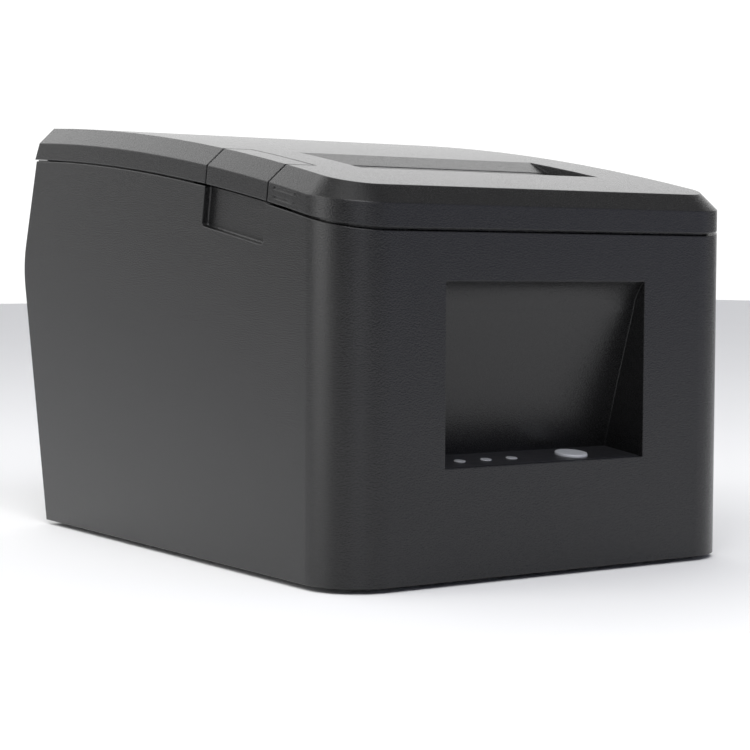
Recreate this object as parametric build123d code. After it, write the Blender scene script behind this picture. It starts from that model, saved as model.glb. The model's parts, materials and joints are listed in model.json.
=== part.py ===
from build123d import *
import math
import os

# Receipt printer for 80 mm paper rolls: moulded case, hinged lid, thermal print mechanism.
# Millimetres. While modelling, Y is measured back from the front face and Z up from the case's
# underside; X is centred. save() then moves every piece so that the origin is at the middle of the
# footprint, on the table under the feet.

# ---- overall form ----
WIDTH = 145.0
WALL = 2.4
FOOT_HEIGHT = 1.5
FRONT_CORNER_R = 16.4
REAR_FOOT_Y = 183.0       # rear wall at the underside
LEAN_OUT = 0.211          # rear wall leans out below the waist, mm per mm of height
REAR_TOP_Y = 189.8        # rear wall at the top of the case
REAR_TOP_Z = 122.4
LEAN_IN = 0.322           # rear wall leans in above the waist
WAIST_R = 28.0
SEAM_R = 1142.0           # the seam between case and lid is one long arc
SEAM_CY = 248.3
SEAM_CZ = -1018.0
LID_HEIGHT = 11.05        # lid's top above the seam
LID_CHAMFER = 5.2
HALF = WIDTH / 2
DEPTH_CUT = 230.0         # anything behind the object

# ---- front alcove ----
ALCOVE_X = (-37.6, 34.4)
ALCOVE_FLOOR_Z = 31.3
ALCOVE_TOP_Z = 82.6
ALCOVE_DEPTH = 17.2
PANEL_TILT = 6.3          # the control panel slopes down to the front, degrees
LENS_X = (-26.5, -17.3, -8.1)
LENS_R = 1.7
BUTTON_X = 13.9
BUTTON_R = 4.85
PANEL_ROW = 8.3           # lenses and button, back from the front face
BUTTON_TRAVEL = 0.8

# ---- window and lever in the lid ----
WINDOW_X = (-43.0, 45.0)
WINDOW_FRONT_Y = 34.0
CHUTE_REAR = (68.2, 120.9)  # the chute's floor comes up flush with the lid here (Y, Z)
CHUTE_SLOPE = 22.9
LEVER_MID_Y = 54.45
LEVER_HALF = 17.6
LEVER_TILT = 9.78         # slope of the seam at the lever, degrees
LEVER_INNER_X = -57.8
POCKET_X = -70.3          # back of the shallow finger pocket under the lever
MARK_REAR_Y = 33.5        # two sunk marks on the lid's left side, ahead of the lever
MARK_SLOPE = 11.5
MARK_BARS = [(108.4, 10.5), (105.8, 9.7)]  # height at the rear end, length
MARK_DEPTH = 0.25
SLIT = 0.8

# ---- print mechanism: a frame of its own, tilted so that the paper leaves behind the front rim ----
LINE_Y = 40.5             # print line
LINE_Z = 92.0
TILT = 12.0
PLATEN_R = 7.0
PLATEN_N = 7.05           # platen axis behind the paper plane
PLATEN_HALF = 41.0
PLATE_X = 48.9            # inner face of each side plate
PLATE_T = 1.5
MODULE = 0.8
PLATEN_TEETH = 22
IDLER_TEETH = 20
MOTOR_TEETH = 13
FEED_ANGLE = -76.3        # line of the feed gears in the YZ plane, degrees from +Y
BLADE_U = 8.0             # underside of the moving blade
RACK_TEETH = 10
CUTTER_TEETH = 20
CUTTER_MOTOR_TEETH = 12
CUTTER_SHAFT = (-22.0, 3.2)
LATCH_SHAFT = (22.0, 15.5)
STUD = (28.4, 1.2)
HEAD_PIVOT = (-8.6, -21.0)
FRAME_HOLES = [(-36, 33), (36, 33), (-36, 62), (36, 62)]
FEED_MOTOR_R = 14.6
CUTTER_MOTOR_R = 6.6

# ---- paper well, electronics, hinge ----
WELL_X = 41.5
WELL_R = 43.0
WELL_Y = 128.0
WELL_Z = 66.0
WELL_DECK_INSET = 4.2
BOSSES = [(-66.2, 26), (66.2, 26), (-66.2, 158), (66.2, 158)]
BOARD_Z = 8.0
BOARD_HOLES = [(-52, 86), (52, 86), (-52, 150), (52, 150)]
PANEL_Y = 169.4           # socket panel at the back
SWITCH_X = -51.5          # then the sockets, by their middles
INLET_X = -33.0
NETWORK_X = -14.0
USB_X = 3.0
SERIAL_X = 27.0
DRAWER_X = 52.0
SOCKET_Y = 157.0
SOCKET_FACE = PANEL_Y + 2.4
ROCKER_Y = PANEL_Y + 0.6
ROCKER_Z = 19.0
ROCKER_TILT = 8.0
HINGE_Y = 191.2
HINGE_Z = 122.4


# ---------------------------------------------------------------- helpers
def block(x0, x1, y0, y1, z0, z1):
    """A rectangular block between two corners."""
    return Pos((x0 + x1) / 2, (y0 + y1) / 2, (z0 + z1) / 2) * Box(x1 - x0, y1 - y0, z1 - z0)


def rod_x(x0, x1, y, z, r):
    """A round bar along X."""
    return Pos((x0 + x1) / 2, y, z) * Rot(0, 90, 0) * Cylinder(r, x1 - x0)


def rod_y(x, y0, y1, z, r):
    """A round bar along Y."""
    return Pos(x, (y0 + y1) / 2, z) * Rot(90, 0, 0) * Cylinder(r, y1 - y0)


def rod_z(x, y, z0, z1, r):
    """A round bar along Z."""
    return Pos(x, y, (z0 + z1) / 2) * Cylinder(r, z1 - z0)


def slab(points, x0, x1):
    """A profile in the YZ plane, straight sided, extruded from x0 to x1."""
    face = make_face(Plane.YZ * Polyline(*points, close=True))
    return Pos(x0, 0, 0) * extrude(face, x1 - x0, dir=(1, 0, 0))


def mirrored(shape):
    """A piece and its mirror image across the middle plane."""
    return Compound(children=[shape, mirror(shape, Plane.YZ)])


def group(shapes):
    """Separate solids that share a node."""
    return Compound(children=list(shapes))


def seam_z(y, lift=0.0):
    """Height of the seam's centre line, Y mm behind the front face."""
    return SEAM_CZ + math.sqrt(SEAM_R ** 2 - (y - SEAM_CY) ** 2) + lift


def seam_arc(front_lift, rear_lift, x=0.0):
    """The seam line, lifted by one amount at the front and another at the back."""
    def point(y):
        share = y / REAR_TOP_Y
        return (x, y, seam_z(y) + front_lift + (rear_lift - front_lift) * share)
    return ThreePointArc(point(-20.0), point(100.0), point(220.0))


def under_seam(front_lift, rear_lift):
    """Everything below the lifted seam."""
    arc = seam_arc(front_lift, rear_lift)
    low_rear = (0, 220.0, -20.0)
    low_front = (0, -20.0, -20.0)
    face = make_face([arc, Line(arc @ 1, low_rear), Line(low_rear, low_front), Line(low_front, arc @ 0)])
    return extrude(face, HALF + 10, both=True)


def plan_prism(inset):
    """The outline seen from above: round front corners, open-ended behind."""
    half = HALF - inset
    sheet = Pos(0, (inset + DEPTH_CUT) / 2) * Rectangle(2 * half, DEPTH_CUT - inset)
    front = [v for v in sheet.vertices() if v.Y < 50]
    sheet = fillet(front, FRONT_CORNER_R - inset)
    return Pos(0, 0, -20) * extrude(sheet, 200)


def rear_prism(inset):
    """Everything in front of the case's rear wall, which has a soft waist."""
    low = inset * math.hypot(1, LEAN_OUT)
    high = inset * math.hypot(1, LEAN_IN)
    waist_z = (REAR_TOP_Y - REAR_FOOT_Y + LEAN_IN * REAR_TOP_Z - high + low) / (LEAN_OUT + LEAN_IN)
    waist_y = REAR_FOOT_Y + LEAN_OUT * waist_z - low
    top_z = 150.0
    points = [
        (-20, -20),
        (REAR_FOOT_Y - 20 * LEAN_OUT - low, -20),
        (waist_y, waist_z),
        (REAR_TOP_Y + LEAN_IN * (REAR_TOP_Z - top_z) - high, top_z),
        (-20, top_z),
    ]
    face = make_face(Polyline(*points, close=True))
    waist = [v for v in face.vertices() if v.Y > 0 and v.Y < 120 and v.X > 100]
    face = fillet(waist, WAIST_R - inset)
    return extrude(Plane.YZ * face, HALF + 10, both=True)


def in_mech(shape):
    """From the print mechanism's own frame (Y behind the paper plane, Z along the paper) into place."""
    return Pos(0, LINE_Y, LINE_Z) * Rot(TILT, 0, 0) * shape


def mech_yz(n, u):
    """The (Y, Z) of a point in the print mechanism's frame."""
    c = math.cos(math.radians(TILT))
    s = math.sin(math.radians(TILT))
    return (LINE_Y + n * c - u * s, LINE_Z + n * s + u * c)


def in_panel(shape):
    """From the sloping control panel's frame into place."""
    return Pos(0, 0, ALCOVE_FLOOR_Z) * Rot(PANEL_TILT, 0, 0) * shape


def in_lever(shape):
    """From the lever's frame (on the seam, Y along it) into place."""
    return Pos(0, LEVER_MID_Y, seam_z(LEVER_MID_Y)) * Rot(LEVER_TILT, 0, 0) * shape


def gear(teeth, width, bore, phase):
    """A spur gear about X, from x = 0, with one tooth centred at the phase angle in the YZ plane."""
    pitch_r = MODULE * teeth / 2
    tip_r = pitch_r + 0.85 * MODULE
    root_r = pitch_r - 1.15 * MODULE
    step = 2 * math.pi / teeth
    points = []
    for i in range(teeth):
        middle = math.radians(phase) + i * step
        for r, share in ((root_r, -0.32), (tip_r, -0.12), (tip_r, 0.12), (root_r, 0.32)):
            angle = middle + share * step
            points.append((r * math.cos(angle), r * math.sin(angle)))
    face = make_face(Plane.YZ * Polyline(*points, close=True))
    body = extrude(face, width, dir=(1, 0, 0))
    return body - rod_x(-1, width + 1, 0, 0, bore)


def screw(x, y, z_seat, length, head_r=2.6, head_h=1.6, shank_r=1.18, up=1):
    """A round-headed screw: its head is on the far side of the seat, the shank goes up or down."""
    head = rod_z(x, y, min(z_seat, z_seat - up * head_h), max(z_seat, z_seat - up * head_h), head_r)
    shank = rod_z(x, y, min(z_seat, z_seat + up * length), max(z_seat, z_seat + up * length), shank_r)
    slot_z = z_seat - up * head_h
    slot = block(x - 0.35, x + 0.35, y - 1.8, y + 1.8, slot_z - 0.6, slot_z + 0.6)
    return head + shank - slot


# ---------------------------------------------------------------- case
def alcove_profile():
    """The alcove in section: floor under the panel, back that scoops down and away from the front."""
    floor_front = ALCOVE_FLOOR_Z - 1.62
    tilt = math.tan(math.radians(PANEL_TILT))
    low_rear = (0, ALCOVE_DEPTH, floor_front + ALCOVE_DEPTH * tilt)
    scoop_foot = (0, ALCOVE_DEPTH, ALCOVE_FLOOR_Z + ALCOVE_DEPTH * tilt)
    scoop_mid = (0, 11.9, 51.8)
    scoop_high = (0, 5.0, 74.0)
    lip = (0, 0, ALCOVE_TOP_Z + 0.2)
    back = ThreePointArc(scoop_foot, scoop_mid, scoop_high)
    top = ThreePointArc(scoop_high, (0, 3.1, 79.4), lip)
    return make_face([
        Line((0, -5, floor_front), (0, 0, floor_front)),
        Line((0, 0, floor_front), low_rear),
        Line(low_rear, scoop_foot),
        back,
        top,
        Line(lip, (0, -5, ALCOVE_TOP_Z + 5)),
        Line((0, -5, ALCOVE_TOP_Z + 5), (0, -5, floor_front)),
    ])


def alcove_walls():
    """The moulding behind the alcove, with at least 2 mm of wall everywhere."""
    tilt = math.tan(math.radians(PANEL_TILT))
    rear = ALCOVE_DEPTH + 2.0
    low = ALCOVE_FLOOR_Z - 3.4
    points = [
        (1, low),
        (rear, low + rear * tilt),
        (rear, 34.5),
        (7.4, 76.5),
        (5.2, 82.5),
        (1, 88),
    ]
    return slab(points, ALCOVE_X[0] - 2.0, ALCOVE_X[1] + 2.0)


def finger_pocket():
    """The recess under the lever for a fingertip, in the lever's frame."""
    pocket = block(-80, POCKET_X, -17.6, 17.9, -12.2, 10)
    low_corners = [e for e in pocket.edges() if e.center().Z < -12 and abs(e.center().Y) > 17]
    pocket = fillet(low_corners, 1.2)
    back = [e for e in pocket.edges() if abs(e.center().X - POCKET_X) < 0.01 and e.center().Z < 9]
    return fillet(back, 0.5)


def socket_recess():
    """Room for plugs in the rear wall."""
    return block(-62, 62, PANEL_Y + 1.5, 210, 5, 32)


def inner_outline(inset):
    """The case's plan and rear wall, both moved in from the outside."""
    return plan_prism(inset) & rear_prism(inset)


def case_tongue():
    """The tongue inside the case's rim that closes the seam; it stops at the lever and the hinge."""
    tongue = inner_outline(WALL + 0.3) - inner_outline(WALL + 1.5)
    tongue += (inner_outline(WALL - 0.1) - inner_outline(WALL + 1.5)) & under_seam(-0.7, -0.5)
    tongue = tongue & under_seam(1.5, 1.5)
    tongue -= under_seam(-4, -4)
    tongue -= block(-80, -60, 28, 84, 80, 130)
    return tongue - block(-57, 57, 150, 200, 80, 130)


def rim_pads():
    """Raised ends of the rim at the rear corners, which the closed lid all but rests on."""
    pad = block(-HALF + 0.4, -HALF + WALL + 0.6, 181, 189.2, 119, 126)
    return mirrored(pad & under_seam(0.12, 0.12) - under_seam(-1.5, -1.5))


def make_case():
    rim = under_seam(-0.45, -0.25)
    body = plan_prism(0) & rear_prism(0)
    body = body & rim
    body = body & block(-80, 80, -5, 210, 0, 150)
    hollow = plan_prism(WALL) & rear_prism(WALL)
    shell = body - hollow
    shell += case_tongue()
    shell += rim_pads()
    backing = in_lever(block(-71, POCKET_X + 2.2, -20.2, 20.4, -14.4, 0))
    shell += backing & body
    shell += alcove_walls() & body
    for x, y in BOSSES:
        shell += rod_z(x, y, 1.9, 14, 4.0) & body
        shell -= rod_z(x, y, 0, 12, 1.2)
    recess = socket_recess()
    shell += block(-64, 64, PANEL_Y + 1.5, 210, 1.9, 34) & body
    shell -= recess
    alcove = extrude(alcove_profile(), ALCOVE_X[1] - ALCOVE_X[0], dir=(1, 0, 0))
    alcove = Pos(ALCOVE_X[0], 0, 0) * alcove
    lip = block(-80, 80, -6, 1.4, 20, ALCOVE_FLOOR_Z)
    shell -= alcove - lip
    shell -= in_lever(finger_pocket())
    for x in LENS_X:
        shell -= in_panel(rod_z(x, PANEL_ROW, -5, 1, LENS_R + 0.3))
    shell -= in_panel(rod_z(BUTTON_X, PANEL_ROW, -5, 1, BUTTON_R + 0.35))
    for side in (-1, 1):
        shell += hinge_barrel(side, 28.0, 33.8, 1.25) & block(-80, 80, 150, 200, 100, 130)
        shell += hinge_barrel(side, 44.2, 50.0, 1.25) & block(-80, 80, 150, 200, 100, 130)
        shell -= rod_x(33.8, 44.2, HINGE_Y, HINGE_Z, 3.4) if side > 0 else rod_x(
            -44.2, -33.8, HINGE_Y, HINGE_Z, 3.4)
    return shell


def hinge_barrel(side, x0, x1, bore):
    """A knuckle of the case's half of the hinge, with its web down the rear wall."""
    low, high = sorted((side * x0, side * x1))
    web = slab([(188.2, 113.5), (192.0, 115.5), (193.4, 120.5), (190, 122.2), (188.2, 121.6)], low, high)
    return web + rod_x(low, high, HINGE_Y, HINGE_Z, 3.0) - rod_x(low - 1, high + 1, HINGE_Y, HINGE_Z, bore)


def make_base_plate():
    plate = plan_prism(WALL + 0.15) & rear_prism(WALL + 0.15)
    plate = plate & block(-80, 80, 0, 210, 0.2, 1.7)
    for x, y in BOARD_HOLES:
        plate += rod_z(x, y, 0.8, BOARD_Z, 3.0)
    for x, y in FRAME_HOLES:
        plate += rod_z(x, y, 0.8, 4.4, 3.2)
    for x, y in BOARD_HOLES:
        plate -= rod_z(x, y, 3, BOARD_Z + 1, 1.2)
    for x, y in FRAME_HOLES:
        plate -= rod_z(x, y, 2.2, 6, 1.2)
    for x, y in BOSSES:
        plate -= rod_z(x, y, -1, 1.2, 2.8) + rod_z(x, y, 1.1, 3, 1.5)
    return plate


def make_feet():
    feet = []
    for x in (-54, 54):
        for y in (15, 166):
            pad = rod_z(x, y, -FOOT_HEIGHT, 0.2, 6.0)
            feet.append(chamfer(pad.edges().sort_by(Axis.Z)[0], 0.4))
    return group(feet)


def make_base_screws():
    return group(screw(x, y, 1.2, 8.5, head_r=2.6, head_h=1.0) for x, y in BOSSES)


# ---------------------------------------------------------------- control panel in the alcove
def make_control_panel():
    plate = in_panel(block(ALCOVE_X[0] + 0.1, ALCOVE_X[1] - 0.1, 1.55, ALCOVE_DEPTH + 0.2, -1.6, 0))
    plate = plate & block(-80, 80, 0, ALCOVE_DEPTH - 0.05, 20, 60)
    for x in LENS_X:
        plate -= in_panel(rod_z(x, PANEL_ROW, -5, 1, LENS_R))
    return plate - in_panel(rod_z(BUTTON_X, PANEL_ROW, -5, 1, BUTTON_R + 0.2))


def make_lens(x):
    lens = rod_z(x, PANEL_ROW, -5.3, 0.25, LENS_R)
    return in_panel(fillet(lens.edges().sort_by(Axis.Z)[-1], 0.2))


def make_feed_button():
    cap = rod_z(BUTTON_X, PANEL_ROW, -3.6, 0.8, BUTTON_R)
    cap = fillet(cap.edges().sort_by(Axis.Z)[-1], 0.5)
    cap += rod_z(BUTTON_X, PANEL_ROW, -4.4, -3.6, 5.9)
    cap += rod_z(BUTTON_X, PANEL_ROW, -6.0, -4.4, 2.0)
    return in_panel(cap)


def make_panel_board():
    board = block(ALCOVE_X[0] + 2, ALCOVE_X[1] - 2, 4.0, 17.0, -10.2, -9.0)
    for x in LENS_X:
        led = rod_z(x, PANEL_ROW, -9.1, -5.5, 1.5)
        board += fillet(led.edges().sort_by(Axis.Z)[-1], 1.3)
    board += block(-3, 3, 13.0, 16.6, -9.1, -6.6)
    for x in (ALCOVE_X[0] + 5, ALCOVE_X[1] - 5):
        board += rod_z(x, 10, -9.1, -3.45, 2.4)
    return in_panel(board)


def make_tact_switch():
    body = block(BUTTON_X - 3, BUTTON_X + 3, PANEL_ROW - 3, PANEL_ROW + 3, -9.0, -7.4)
    return in_panel(body + rod_z(BUTTON_X, PANEL_ROW, -7.5, -6.0 - BUTTON_TRAVEL - 0.05, 1.6))


# ---------------------------------------------------------------- lid
def lid_rear(inset):
    """Everything in front of the lid's rear wall, which turns in a little above the seam."""
    points = [
        (-20, 80),
        (191.2 - inset, 80),
        (191.2 - inset, 122.6),
        (187.4 - inset, 128.3),
        (187.0 - inset, 134),
        (186.8 - inset, 150),
        (-20, 150),
    ]
    return slab(points, -HALF - 10, HALF + 10)


def side_chamfer(side):
    """What the 45 degree chamfer takes off one side of the lid, behind the round corner."""
    spare = 3.0
    x = HALF + spare
    low = seam_arc(LID_HEIGHT - LID_CHAMFER - spare, LID_HEIGHT - LID_CHAMFER - spare, x)
    high_front = (x, -20.0, 160.0)
    high_rear = (x, 220.0, 160.0)
    face = make_face([low, Line(low @ 1, high_rear), Line(high_rear, high_front), Line(high_front, low @ 0)])
    wedge = extrude(face, (LID_CHAMFER + 2 * spare) * math.sqrt(2), dir=(-1, 0, 1))
    wedge = wedge & block(-90, 90, FRONT_CORNER_R, 215, 60, 150)
    return wedge if side > 0 else mirror(wedge, Plane.YZ)


def front_chamfer():
    """What the chamfer takes off the lid's front edge, between the round corners."""
    spare = 3.0
    z = seam_z(LID_CHAMFER, LID_HEIGHT)
    points = [
        (-spare, z - LID_CHAMFER - spare),
        (LID_CHAMFER + spare, z + spare),
        (-spare, z + spare),
    ]
    return slab(points, -HALF + FRONT_CORNER_R, HALF - FRONT_CORNER_R)


def corner_chamfer(side):
    """The chamfer carried round a front corner as a loft of wedges."""
    spare = 3.0
    inner = FRONT_CORNER_R - LID_CHAMFER
    sections = []
    for degrees in range(0, 91, 15):
        angle = math.radians(degrees)
        plane = Plane(
            origin=(HALF - FRONT_CORNER_R, FRONT_CORNER_R, 0),
            x_dir=(math.sin(angle), -math.cos(angle), 0),
            z_dir=(-math.cos(angle), -math.sin(angle), 0),
        )
        z = seam_z(FRONT_CORNER_R - inner * math.cos(angle), LID_HEIGHT)
        wedge = Polyline(
            (inner - spare, z + spare),
            (FRONT_CORNER_R + spare, z - LID_CHAMFER - spare),
            (FRONT_CORNER_R + spare, z + spare),
            close=True,
        )
        sections.append(make_face(plane * wedge))
    wedge = loft(sections)
    return wedge if side > 0 else mirror(wedge, Plane.YZ)


def lid_form():
    """The lid's outside as a solid block."""
    form = plan_prism(0) & lid_rear(0)
    form = form & under_seam(LID_HEIGHT, LID_HEIGHT)
    form -= under_seam(0.45, 0.25)
    for side in (-1, 1):
        form -= side_chamfer(side)
        form -= corner_chamfer(side)
    return form - front_chamfer()


def lid_hollow():
    """The lid's inside as a solid block."""
    form = plan_prism(WALL) & lid_rear(WALL)
    form = form & under_seam(LID_HEIGHT - 2.45, LID_HEIGHT - 2.45)
    form = form & block(-80, 80, -5, 200, 90, 150)
    ceiling = [f for f in form.faces() if f.center().Z > 105 and f.normal_at().Z > 0.9]
    ceiling = sorted(ceiling, key=lambda f: f.area)[-1]
    edges = [e for e in ceiling.edges() if e.center().Y < 170]
    return chamfer(edges, 3.7)


def lever_block(grow):
    """The part of the lid that the lever takes, in the lever's frame, grown all round."""
    return in_lever(block(-80, LEVER_INNER_X + grow, -LEVER_HALF - grow, LEVER_HALF + grow, -6, 20))


def lever_pivot():
    """The lever's pivot in the lever's frame: (x, z)."""
    height = LID_HEIGHT * math.cos(math.radians(LEVER_TILT))
    return (-60.4, height - 3.0)


def chute_floor_z(y):
    """Height of the chute's sloping floor."""
    return CHUTE_REAR[1] - (CHUTE_REAR[0] - y) * math.tan(math.radians(CHUTE_SLOPE))


def window_cut():
    """The paper exit window, down to the chute's floor."""
    front = WINDOW_FRONT_Y
    points = [
        (front, 100),
        (front, 140),
        (CHUTE_REAR[0], 140),
        CHUTE_REAR,
        (39.5, chute_floor_z(39.5)),
        (39.5, 100),
    ]
    return slab(points, WINDOW_X[0], WINDOW_X[1])


def make_paper_chute():
    floor = [
        CHUTE_REAR,
        (CHUTE_REAR[0] - 4.4, CHUTE_REAR[1] - 3.4),
        (40.2, chute_floor_z(40.2) - 1.7),
        (39.2, chute_floor_z(39.2) - 1.2),
        (39.2, chute_floor_z(39.2)),
    ]
    chute = slab(floor, WINDOW_X[0] - 1.5, WINDOW_X[1] + 1.5)
    cheek = [
        CHUTE_REAR,
        (CHUTE_REAR[0] - 4.4, CHUTE_REAR[1] - 3.4),
        (40.2, chute_floor_z(40.2) - 1.7),
        (39.2, chute_floor_z(39.2) - 1.2),
        (39.2, 120),
        (60, 122),
    ]
    chute += slab(cheek, WINDOW_X[0] - 1.5, WINDOW_X[0])
    chute += slab(cheek, WINDOW_X[1], WINDOW_X[1] + 1.5)
    for x in (-30, 0, 30):
        chute += slab([(62, 117.6), (57, 115.4), (60, 114.2), (63, 116)], x - 0.8, x + 0.8)
    return chute & under_seam(LID_HEIGHT - 2.46, LID_HEIGHT - 2.46)


def side_marks():
    """Two slim bars, a dot before each, sunk into the lid's left side along the seam."""
    low, high = -HALF - 1, -HALF + MARK_DEPTH
    marks = []
    for z, length in MARK_BARS:
        bar = block(low, high, -length, 0, -0.35, 0.35)
        dot = rod_x(low, high, -length - 1.0, 0, 0.4)
        marks.append(Pos(0, MARK_REAR_Y, z) * Rot(MARK_SLOPE, 0, 0) * (bar + dot))
    return group(marks)


def make_lid():
    shell = lid_form() - lid_hollow() - side_marks()
    rim_wall = block(-46, 48, 31.6, WINDOW_FRONT_Y, 106.5, 118) & under_seam(LID_HEIGHT - 2, LID_HEIGHT - 2)
    shell += rim_wall
    hollow = lid_hollow()
    slope_pad = slab([(62, 121.5), (62, 117), (67.4, 119.2), (69, 121.5)], WINDOW_X[0] - 2, WINDOW_X[1] + 2)
    shell += slope_pad & under_seam(LID_HEIGHT - 2, LID_HEIGHT - 2) & block(-80, 80, 63.9, 70, 100, 130)
    pivot_x, pivot_z = lever_pivot()
    for y0, y1 in ((-21.4, -LEVER_HALF - 0.4), (LEVER_HALF + 0.4, 21.4)):
        shell += in_lever(block(-63.4, -57.0, y0, y1, 5.2, 9.4)) & lid_form()
    for x in (-52.0, 52.0):
        shell += in_mech(rod_z(x, 8.0, 12.42, 21.5, 3.2)) & under_seam(LID_HEIGHT - 2, LID_HEIGHT - 2)
        shell -= in_mech(rod_z(x, 8.0, 10, 19.0, 1.2))
    for x in (-30, 30):
        rib = slab([(90, 110), (90, 132), (180, 135), (180, 122.6)], x - 0.8, x + 0.8)
        shell += rib & hollow & block(-80, 80, 80, 190, 112, 140) - under_seam(4, 4)
    shell -= lever_block(0.4)
    shell -= in_lever(rod_y(pivot_x, -21.0, 24.0, pivot_z, 1.0))
    shell -= in_lever(rod_y(pivot_x, 21.4, 24.0, pivot_z, 1.9))
    shell -= in_lever(block(pivot_x - 1.9, pivot_x + 1.9, 21.4, 24.0, 3.0, pivot_z))
    shell -= window_cut()
    for side in (-1, 1):
        for x0, x1 in ((27.6, 34.2), (43.8, 50.4)):
            low, high = sorted((side * x0, side * x1))
            shell -= rod_x(low, high, HINGE_Y, HINGE_Z, 3.4)
        low, high = sorted((side * 34.4, side * 43.6))
        lug = slab([(187.2, 123.2), (191.2, 122.6), (192.6, 125.2), (188.6, 127.9), (187.2, 128)], low, high)
        lug += rod_x(low, high, HINGE_Y, HINGE_Z, 3.0)
        shell += lug - rod_x(low - 1, high + 1, HINGE_Y, HINGE_Z, 1.3)
        shell -= rod_x(low - 1, high + 1, HINGE_Y, HINGE_Z, 1.3)
    return shell


def make_release_lever():
    skin = lid_form() & lever_block(-0.4)
    skin -= lid_hollow()
    pivot_x, pivot_z = lever_pivot()
    reach = LEVER_HALF - 0.4
    knuckle = in_lever(block(-63.0, LEVER_INNER_X - 0.4, -reach, reach, 6.3, 10.2)) & lid_form()
    ledge = in_lever(block(-71.2, -66.9, -6.5, -2.0, 1.2, 2.6))
    lever = skin + knuckle + ledge
    for y in (-reach + 1.0, reach - 2.2):
        lever += in_lever(block(-72, -62.5, y, y + 1.2, 6.6, 12)) & lid_form()
    return lever - in_lever(rod_y(pivot_x, -30, 30, pivot_z, 1.06))


def make_lever_pin():
    pivot_x, pivot_z = lever_pivot()
    return in_lever(rod_y(pivot_x, -20.9, 23.8, pivot_z, 1.0))


def make_lever_spring():
    """The lever's torsion spring: its coil as one sleeve round the pin's end, with a leg."""
    pivot_x, pivot_z = lever_pivot()
    leg = block(-60.4, -55.0, 22.2, 22.8, pivot_z - 1.75, pivot_z - 1.15)
    coil = rod_y(pivot_x, 21.5, 23.7, pivot_z, 1.8) - rod_y(pivot_x, 20, 25, pivot_z, 1.05)
    return in_lever(coil + leg)


def make_latch_shaft():
    n, u = LATCH_SHAFT
    shaft = in_mech(rod_x(-69.4, 56.0, n, u, 2.0))
    start_y, start_z = mech_yz(n, u)
    tilt = math.radians(LEVER_TILT)
    dy = start_y - LEVER_MID_Y
    dz = start_z - seam_z(LEVER_MID_Y)
    local_y = dy * math.cos(tilt) + dz * math.sin(tilt)
    arm = block(-69.4, -67.4, -6.8, local_y, 2.95, 4.3)
    return shaft + in_lever(arm)


def make_latch_hook(side):
    """A hook on the latch shaft; its barb stops just in front of its stud on the print frame."""
    n, u = LATCH_SHAFT
    low, high = sorted((side * 52.0, side * 54.0))
    boss = rod_x(low, high, n, u, 4.4)
    shank = slab([(19.5, 15), (22.3, 4), (22.3, -3.2), (25.4, -3.2), (25.4, 4), (25.6, 15)], low, high)
    barb = slab([(25.0, -0.4), (25.0, -3.2), (25.8, -3.2), (26.2, -1.4), (25.8, -0.8)], low, high)
    hook = boss + shank + barb - rod_x(low - 1, high + 1, n, u, 2.0)
    return in_mech(hook)


def make_hinge_pins():
    return mirrored(rod_x(28.0, 50.0, HINGE_Y, HINGE_Z, 1.25))


# ---------------------------------------------------------------- platen carrier in the lid
def make_platen_carrier():
    cheek = [
        (1.6, 11.7),
        (2.0, -5.2),
        (12.6, -5.2),
        (14.6, 5.0),
        (27.0, 11.0),
        (27.0, 17.6),
        (17.0, 17.6),
        (15.0, 11.7),
    ]
    carrier = slab(cheek, 45.5, 47.0) + slab(cheek, -47.0, -45.5)
    carrier += block(-47.0, 47.0, 1.6, 26.0, 10.5, 11.7)
    carrier += block(-56.0, 56.0, 3.6, 12.4, 11.2, 12.4)
    carrier += block(-47.0, 47.0, 3.6, 12.4, 10.5, 12.4)
    carrier -= rod_x(-60, 60, PLATEN_N, 0, 3.5)
    carrier -= rod_x(-60, 60, LATCH_SHAFT[0], LATCH_SHAFT[1], 2.05)
    for x in (-52.0, 52.0):
        carrier -= rod_z(x, 8.0, 5, 15, 1.3)
    return in_mech(carrier)


def make_platen_bushes():
    bush = rod_x(45.5, 50.6, PLATEN_N, 0, 3.5)
    bush += rod_x(47.05, 50.6, PLATEN_N, 0, 5.0)
    return mirrored(in_mech(bush - rod_x(40, 60, PLATEN_N, 0, 2.55)))


def make_platen_shaft():
    shaft = rod_x(-51.5, 56.0, PLATEN_N, 0, 2.5)
    return in_mech(shaft)


def make_platen_rubber():
    sleeve = rod_x(-PLATEN_HALF, PLATEN_HALF, PLATEN_N, 0, PLATEN_R)
    return in_mech(sleeve - rod_x(-50, 50, PLATEN_N, 0, 2.5))


def feed_point(distance):
    """A point on the line of the feed gears: (Y, Z), that far from the platen's axis."""
    y, z = mech_yz(PLATEN_N, 0)
    angle = math.radians(FEED_ANGLE)
    return (y + distance * math.cos(angle), z + distance * math.sin(angle))


def feed_gear(teeth, distance, phase, x, width, bore):
    """One gear of the feed train."""
    y, z = feed_point(distance)
    return Pos(x, y, z) * gear(teeth, width, bore, phase)


def make_platen_gear():
    return feed_gear(PLATEN_TEETH, 0.0, FEED_ANGLE, 51.5, 4.0, 2.5)


def make_idler_gear():
    distance = MODULE * (PLATEN_TEETH + IDLER_TEETH) / 2
    return feed_gear(IDLER_TEETH, distance, FEED_ANGLE + 180 / IDLER_TEETH, 51.5, 4.0, 2.05)


def make_motor_pinion():
    distance = MODULE * (PLATEN_TEETH + 2 * IDLER_TEETH + MOTOR_TEETH) / 2
    pinion = feed_gear(MOTOR_TEETH, distance, FEED_ANGLE + 180, 51.5, 4.0, 1.0)
    y, z = feed_point(distance)
    return pinion + rod_x(46.0, 55.5, y, z, 1.2)


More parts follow.
